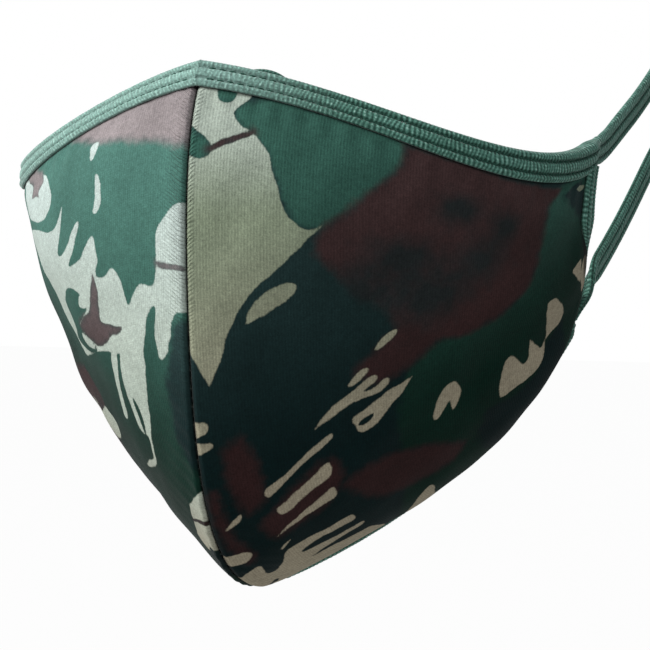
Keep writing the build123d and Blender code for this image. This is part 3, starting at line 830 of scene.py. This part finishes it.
def lining(side):
    coarse = (slice(None, None, 3), slice(None, None, 2))
    points, normal = CLOTH[coarse], NORMAL[coarse]
    from_seam, down_seam = cloth_distances(points)
    relief = 0.3 * waves(points, 30, 8) * smoothstep(from_seam, 3, 10)
    edge = smoothstep(np.minimum(down_seam, from_seam[:, -1:] - from_seam), TAPE_WIDTH, 13)
    face = off_the_centre(points - normal * (LINING + np.maximum(relief, -0.2) * edge)[..., None])
    back = off_the_centre(points - normal * HIDDEN)
    verts, faces = slab(face, back)
    piece = make_piece(f"{side}_lining_cloth", verts, faces, PLAIN, side,
                       uv=np.tile(uv_of(points), (2, 1)))
    finish_cloth(piece, side, "lining")


# ---------------------------------------------------------------- binding tape
OUTER = FABRIC + SLIP
INNER = LINING + SLIP


def groove(width, depth=GROOVE_DEPTH):
    """Depth of the two stitched grooves at a place across the tape."""
    return sum(depth * hump(width, row, 0.42) for row in ROWS)


def swell(width):
    """Puffed cloth between the grooves and a rounded free edge."""
    lanes = 0.22 * np.abs(np.sin(math.pi * (width - ROWS[0]) / (ROWS[1] - ROWS[0])))
    edge = 0.75 * smoothstep(width, TAPE_WIDTH - 1.0, TAPE_WIDTH + 0.1)
    return lanes - edge


def rib(distance, width, skew):
    """Knitted ribs across the tape, 0 in the dents to 1 on the crests."""
    lane = np.floor((width - ROWS[0]) / (ROWS[1] - ROWS[0]))
    drift = 0.5 * np.sin(distance / 5.3 + lane) + 0.3 * np.sin(distance / 1.9 + width + 2 * lane)
    wave = np.sin(2 * math.pi * (distance + skew * width + drift) / RIB_PITCH)
    uneven = 0.75 + 0.25 * np.sin(distance * 1.7 + 1.3 * width) * np.sin(distance * 0.61 - width)
    bead = np.sin(2 * math.pi * width / 0.85 + 1.5 * np.sin(distance / 1.3))
    return np.clip(0.5 + uneven * (0.38 * wave + 0.12 * bead), 0, 1)


OUTER_LEG = np.linspace(REACH, 0, 26)
FOLD_TURN = np.linspace(0, math.pi, 13)[1:-1]
INNER_LEG = np.linspace(0, REACH, 12)


def tape_profile(outer, inner):
    """Skin of the folded tape: distance in from the edge, height, border distance
    and whether it is the face side, from the free edge over the fold to the back."""
    crest = SLIP + TAPE
    face_width = OUTER_LEG + crest
    face = np.stack([OUTER_LEG, outer + TAPE - groove(face_width) + swell(face_width)], -1)
    middle = (outer - inner) / 2
    half = (outer + inner) / 2 + TAPE
    bend = np.stack([-crest * np.sin(FOLD_TURN), middle + half * np.cos(FOLD_TURN)], -1)
    back_width = INNER_LEG + crest
    back = np.stack([INNER_LEG, -(inner + TAPE - groove(back_width, 0.3)) - 0.5 * swell(back_width)], -1)
    inside = np.array([(REACH, -inner), (0.0, -inner), (-SLIP, -inner), (-SLIP, outer), (0.0, outer),
                       (REACH, outer)])
    width = np.concatenate([face_width, crest - crest * np.sin(FOLD_TURN), back_width,
                            [TAPE_WIDTH, 1, 0.5, 0.5, 1, TAPE_WIDTH]])
    outside = np.concatenate([np.ones(26), np.cos(FOLD_TURN) * 0.5 + 0.5, np.full(12, 0.6), np.zeros(6)])
    return np.concatenate([face, bend, back, inside]), width, outside


def raised(height, texture, outside):
    """Heights of the tape's skin with its ribs."""
    lift = RIB_LIFT * (texture - 0.5) * outside
    return height + np.where(height > 0, lift, -lift)


def rib_painted_shading(texture, width, outside):
    """The ribs' painted shading as the tape's material reads it: painted shade in the dents and grooves,
    dark inside.
    """
    return np.where(outside > 0, texture - 0.8 * np.minimum(groove(width), GROOVE_DEPTH), 0.1)


def binding_rings(side, edge):
    """Rings of the folded tape along an edge, with their rib field."""
    place, stop = EDGES[edge][0], STRAIGHT_FROM[edge]
    first, last = TAPE_SPAN[edge]
    guide = np.linspace(first, last, 120)
    along = arc_length(fabric(*place(guide)))
    count = int(along[-1] / RING_SPACING)
    distance = np.linspace(0, along[-1], count)
    t = np.interp(distance, along, guide)
    start = np.minimum(t, stop)
    end = np.array([stop])
    ahead = (fabric(*place(end)) - fabric(*place(end - 0.01))) * 100
    run = (t - start)[:, None] * ahead
    levels = np.linspace(0, REACH, 7)
    walked = [walk_in(edge, start, d) for d in levels]
    spots = np.stack([w[0] + run for w in walked])
    normals = np.stack([w[3] for w in walked])
    into = walked[0][2]
    # past the fabric's corner the two legs close on each other
    closing = smoothstep(t, stop - 0.04, last) if last > stop else 0 * t
    narrow = 1 - 0.2 * closing
    middle = REACH / 2
    if edge == "side":
        # the strip's low end tapers to a point at the side edge
        narrow = 1 - 0.9 * smoothstep(t, last - 0.25, last)
        middle = 0.0
    rings, rib_shading = [], []
    for k in range(count):
        gone = 1 - closing[k]
        profile, width, outside = tape_profile(OUTER * gone, INNER * gone)
        texture = rib(distance[k], width, RIB_SKEW[edge][side])
        height = raised(profile[:, 1], texture, outside)
        across = middle + (profile[:, 0] - middle) * narrow[k]
        if edge == "side":
            height = height * (0.4 + 0.6 * narrow[k])
        depth = np.clip(across, 0, REACH)
        lean = unit(point_at(depth, levels, normals[:, k]))
        over = np.minimum(across, 0)[:, None] * into[k]
        rings.append(point_at(depth, levels, spots[:, k]) + lean * height[:, None] + over)
        rib_shading.append(rib_painted_shading(texture, width, outside))
    return np.array(rings), np.array(rib_shading)


def binding(side, edge):
    rings, rib_shading = binding_rings(side, edge)
    if edge != "side":
        rings[..., 0] = np.maximum(rings[..., 0], OFF_CENTRE)
    verts, faces = closed_tube(rings)
    field = on_closed_tube(rib_shading)
    # painted sheen: over the far half's top tape, and fading away from the nose on the near half's
    painted_sheen = 0 * field
    if edge == "top":
        from_nose = np.abs(verts[:, 0])
        painted_sheen = 1 + painted_sheen if side == "right" else 1 - smoothstep(from_nose, 0, 40)
    piece = make_piece(f"{side}_{edge}_tape", verts, faces, TAPE_LOOK, side,
                       fields={"rib": field, "painted_sheen": painted_sheen})
    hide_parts(f"{side}_{edge}_binding")
    follow_halves(piece, side, edge)


def stitches(paths, normals, pitch=STITCH_PITCH, length=STITCH, radius=THREAD / 2):
    """Thread dashes along polylines: one small spindle for each stitch."""
    verts, faces, base = [], [], 0
    angles = np.linspace(0, 2 * math.pi, 7)[:-1]
    profile = np.array([(-0.5, 0.25), (-0.36, 0.85), (0, 1.0), (0.36, 0.85), (0.5, 0.25)])
    for path, lift in zip(paths, normals):
        along = arc_length(path)
        for centre in np.arange(pitch * 0.6, along[-1] - pitch * 0.5, pitch):
            start, middle, end = (point_at(centre + s * length, along, path) for s in (-0.5, 0, 0.5))
            heading = unit(end - start)
            side_way = unit(np.cross(heading, unit(point_at(centre, along, lift))))
            up = np.cross(side_way, heading)
            round_way = np.cos(angles)[:, None] * side_way + np.sin(angles)[:, None] * up
            dash = [
                middle + heading * s * length + up * (0.25 - s * s) * radius * 1.2 + radius * r * round_way
                for s, r in profile
            ]
            dash_verts, dash_faces = closed_tube(np.array(dash))
            verts.append(dash_verts)
            faces.append(dash_faces + base)
            base += len(dash_verts)
    return np.concatenate(verts), np.concatenate(faces)


def groove_bottom(row, under):
    """Height of a stitch row over cloth whose face stands at under."""
    return under + TAPE - groove(np.array(row)) + swell(np.array(row))


def edge_stitches(side, edge):
    """The two stitch rows, in the bottoms of the tape's grooves."""
    t = np.linspace(*THREAD_SPAN[edge], 160)
    lines, lifts = [], []
    for row in ROWS:
        spot, _, _, normal = walk_in(edge, t, row - TAPE - SLIP)
        lines.append(spot + normal * (groove_bottom(row, OUTER) + PROUD))
        lifts.append(normal)
    verts, faces = stitches(lines, lifts)
    piece = make_piece(f"{side}_{edge}_thread", verts, faces, GREEN_THREAD, side)
    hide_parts(f"{side}_{edge}_stitches")
    follow_halves(piece, side, edge)


# ---------------------------------------------------------------- centre seam
def seam_stitches():
    """Short slanting ladder stitches down the seam, on the face and on the lining."""
    v = np.linspace(0.06, 0.93, 220)
    u = 0 * v
    normal = outward(u, v)
    normal[:, 0] = 0
    normal = unit(normal)
    line = fabric(u, v)
    down = unit(np.gradient(line, axis=0))
    for name, node, height, pitch in (
        ("centre_seam_thread", "centre_seam_stitches", FABRIC - 1.4, 2.4),
        ("lining_seam_thread", "lining_seam_stitches", -LINING - 0.1, 2.8),
    ):
        along = arc_length(line)
        rungs, lifts = [], []
        for centre in np.arange(1.0, along[-1], pitch):
            here = point_at(centre, along, line)
            up = unit(point_at(centre, along, normal))
            across = np.array((1.0, 0, 0)) + 0.35 * point_at(centre, along, down)
            rungs.append(np.array([here + up * height + across * s for s in (-0.6, 0, 0.6)]))
            lifts.append(np.repeat(up[None], 3, 0))
        verts, faces = stitches(rungs, lifts, pitch=0.85, length=1.1, radius=0.18)
        piece = make_piece(name, verts, faces, SEAM_THREAD)
        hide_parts(node)
        follow_halves(piece)


# ---------------------------------------------------------------- ear loops
HINGE = unit(HINGE_HIGH - HINGE_LOW)
HINGE_MIDDLE = (HINGE_HIGH + HINGE_LOW) / 2


def loop_axes(side):
    swing = math.radians(LOOP_SWING[side])
    back = np.array((math.sin(swing), math.cos(swing), 0.0))
    out = unit(back - HINGE * (back @ HINGE))
    return out, np.cross(out, HINGE)


def tape_middle(edge):
    """Middle of an edge's tape where the loop starts, and the way into the fabric."""
    spot, _, into, _ = walk_in(edge, np.array([LOOP_FROM[edge]]), TAPE_WIDTH / 2 - TAPE - SLIP)
    return spot[0], into[0]


def loop_route(side):
    """Control points of the loop's centre line, mm, as for the left side."""
    out, _ = loop_axes(side)

    def at(away, up):
        return HINGE_MIDDLE + out * away + HINGE * up

    x, y = LOOP_TURN[side]
    lean = math.atan2(y, x)
    r = TURN_RADIUS * 1.12      # the control points stand a little outside the curve

    def round_turn(degrees):
        angle = lean + math.radians(degrees)
        return at(x + r * math.cos(angle), y + r * math.sin(angle))

    high, _ = tape_middle("top")
    low, _ = tape_middle("bottom")
    rise = math.tan(lean + 0.12)
    fall = math.tan(lean - 0.1)
    return np.array([
        high, at(2, LOOP_ROOT), at(14, LOOP_ROOT + 12 * rise * 0.55), at(34, LOOP_ROOT + 0.34 * (y - 5)),
        at(x * 0.72, LOOP_ROOT * 0.62 + y * 0.72 + 3),
        round_turn(92), round_turn(46), round_turn(0), round_turn(-46), round_turn(-92),
        at(x * 0.72, -LOOP_ROOT * 0.62 + y * 0.72 - 3), at(34, -LOOP_ROOT + 0.4 * (y + 2)),
        at(14, -LOOP_ROOT + 14 * fall * 0.9), at(2, -LOOP_ROOT), low,
    ])


def spline_points(control):
    """Points along the smooth NURBS curve through the control polygon, mm."""
    curve = bpy.data.curves.new("route", "CURVE")
    curve.dimensions = "3D"
    spline = curve.splines.new("NURBS")
    spline.points.add(len(control) - 1)
    for point, place in zip(spline.points, control):
        point.co = (*place, 1.0)
    spline.order_u = 3
    spline.use_endpoint_u = True
    spline.resolution_u = 24
    route = add_object("route", curve)
    mesh = bpy.data.meshes.new_from_object(route)
    points = np.array([v.co for v in mesh.vertices], float)
    bpy.data.objects.remove(route)
    bpy.data.meshes.remove(mesh)
    bpy.data.curves.remove(curve)
    return points


def even(points, spacing):
    """Evenly spaced points on a polyline and their distances along it."""
    along = arc_length(points)
    stations = np.linspace(0, along[-1], int(along[-1] / spacing) + 1)
    return point_at(stations, along, points), stations


def loop_frames(side, path, stations):
    """Tangent, inward (to the loop's inside) and outward face directions."""
    _, face = loop_axes(side)
    if face[0] < 0:
        face = -face
    tangent = unit(np.gradient(path, axis=0))
    _, high_in = tape_middle("top")
    _, low_in = tape_middle("bottom")
    into = np.cross(face, tangent)
    middle = path[len(path) // 4: 3 * len(path) // 4].mean(0)
    into *= np.sign(dot(into, middle - path).mean())
    total = stations[-1]
    near_top = (1 - smoothstep(stations, 5, 22))[:, None]
    near_low = smoothstep(stations, total - 22, total - 5)[:, None]
    into = into * (1 - near_top - near_low) + high_in * near_top + low_in * near_low
    into = unit(into - tangent * dot(into, tangent)[:, None])
    up = np.cross(tangent, into)
    up *= np.sign(dot(up, np.broadcast_to(face, up.shape)).mean())
    return tangent, into, up


def ear_loop(side):
    path, stations = even(spline_points(loop_route(side)), RING_SPACING)
    tangent, into, up = loop_frames(side, path, stations)
    profile, width, outside = tape_profile(CLOSED, CLOSED)
    rings, rib_shading = [], []
    for k, distance in enumerate(stations):
        texture = rib(distance, width, LOOP_SKEW)
        height = raised(profile[:, 1], texture, outside)
        # narrower at both ends, which start inside the binding tapes
        from_end = min(distance, stations[-1] - distance)
        widened = LOOP_WIDTH / TAPE_WIDTH * (0.7 + 0.3 * smoothstep(from_end, 0, 9))
        across = (profile[:, 0] + SLIP + TAPE - TAPE_WIDTH / 2) * widened
        rings.append(path[k] + into[k] * across[:, None] + up[k] * height[:, None] * FLATTENED)
        rib_shading.append(rib_painted_shading(texture, width, outside))
    verts, faces = closed_tube(np.array(rings))
    piece = make_piece(f"{side}_loop_tape", verts, faces, TAPE_LOOK, side,
                       fields={"rib": on_closed_tube(np.array(rib_shading))})
    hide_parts(f"{side}_ear_loop")

    free = slice(HELD_RINGS, -HELD_RINGS)
    lines = []
    for row in ROWS:
        height = groove_bottom(row, CLOSED) + PROUD
        line = path + into * (row - TAPE_WIDTH / 2) * LOOP_WIDTH / TAPE_WIDTH + up * height * FLATTENED
        lines.append(line[free])
    verts, faces = stitches(lines, [up[free]] * len(ROWS))
    thread = make_piece(f"{side}_loop_thread", verts, faces, GREEN_THREAD, side)
    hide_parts(f"{side}_loop_stitches")

    mirror = np.array((SIGN[side], 1, 1)) * MM
    for part in (piece, thread):
        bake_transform(part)
    line = path * mirror


# ---------------------------------------------------------------- build
for side in SIGN:
    outer_panel(side)
    lining(side)
    for edge in TAPE_SPAN:
        binding(side, edge)
    for edge in THREAD_SPAN:
        edge_stitches(side, edge)
    ear_loop(side)
seam_stitches()


# ---------------------------------------------------------------- studio
def studio():
    """White to the camera, with soft light that comes mostly from above."""
    world = bpy.data.worlds.new("studio")
    bpy.context.scene.world = world
    world.use_nodes = True
    sky = Nodes(world.node_tree)
    direction = sky.node("ShaderNodeTexCoord").outputs["Generated"]
    height = sky.node("ShaderNodeSeparateXYZ", {"Vector": direction}).outputs["Z"]
    strength = sky.spread(height, -0.6, 0.9, 0.05, 0.5)
    fill = sky.node("ShaderNodeBackground", {"Color": (0.95, 0.98, 1.0, 1), "Strength": strength})
    white = sky.node("ShaderNodeBackground", {"Color": (1.0, 1.0, 1.0, 1)})
    sky.split_by_ray(white, fill, "World Output")
    bpy.context.scene.view_settings.view_transform = "Standard"


def floor():
    """Pale floor that the camera sees nearly as white as the background."""
    pale = Shader("pale_floor", roughness=0.95)
    pale.out.inputs["Base Color"].default_value = (0.5, 0.5, 0.49, 1)
    glow = pale.node("ShaderNodeEmission", {"Color": (1.0, 1.0, 1.0, 1), "Strength": 1.0})
    pale.split_by_ray(glow, pale.out, "Material Output", share=0.97)
    span, drop = 3.0, CAD_BOX[0][2] - 0.16
    corners = [(x * span, y * span, drop) for x, y in ((-1, -1), (1, -1), (1, 1), (-1, 1))]
    mesh = bpy.data.meshes.new("floor")
    mesh.from_pydata(corners, [], [(0, 1, 2, 3)])
    mesh.materials.append(pale.material)
    add_object("floor", mesh)


def area_light(name, place, target, size, power, tint=(1, 1, 1)):
    light = bpy.data.lights.new(name, "AREA")
    light.shape = "DISK"
    light.size = size
    light.energy = power
    light.color = tint
    lamp = add_object(name, light)
    lamp.location = place
    lamp.rotation_euler = (Vector(target) - Vector(place)).to_track_quat("-Z", "Y").to_euler()


def camera():
    """The photograph's view: 20 degrees to the wearer's left, 3 degrees up."""
    turn, rise = math.radians(20), math.radians(3)
    away = 0.47
    target = Vector((0.010, 0.0, 0.003))
    back = Vector((math.sin(turn) * math.cos(rise), -math.cos(turn) * math.cos(rise), math.sin(rise)))
    data = bpy.data.cameras.new("camera")
    data.lens = 88.5
    data.sensor_width = 36
    data.clip_start = 0.01
    made = add_object("camera", data)
    made.location = target + back * away
    made.rotation_euler = (-back).to_track_quat("-Z", "Y").to_euler()
    bpy.context.scene.camera = made


studio()
floor()
area_light("key", (-0.81, -0.60, 0.65), (0, -0.03, 0), 0.5, 12.5, (1.0, 0.995, 0.98))
area_light("front", (0.15, -0.90, 0.80), (0, 0, 0), 0.6, 4.0, (0.98, 0.99, 1.0))
camera()
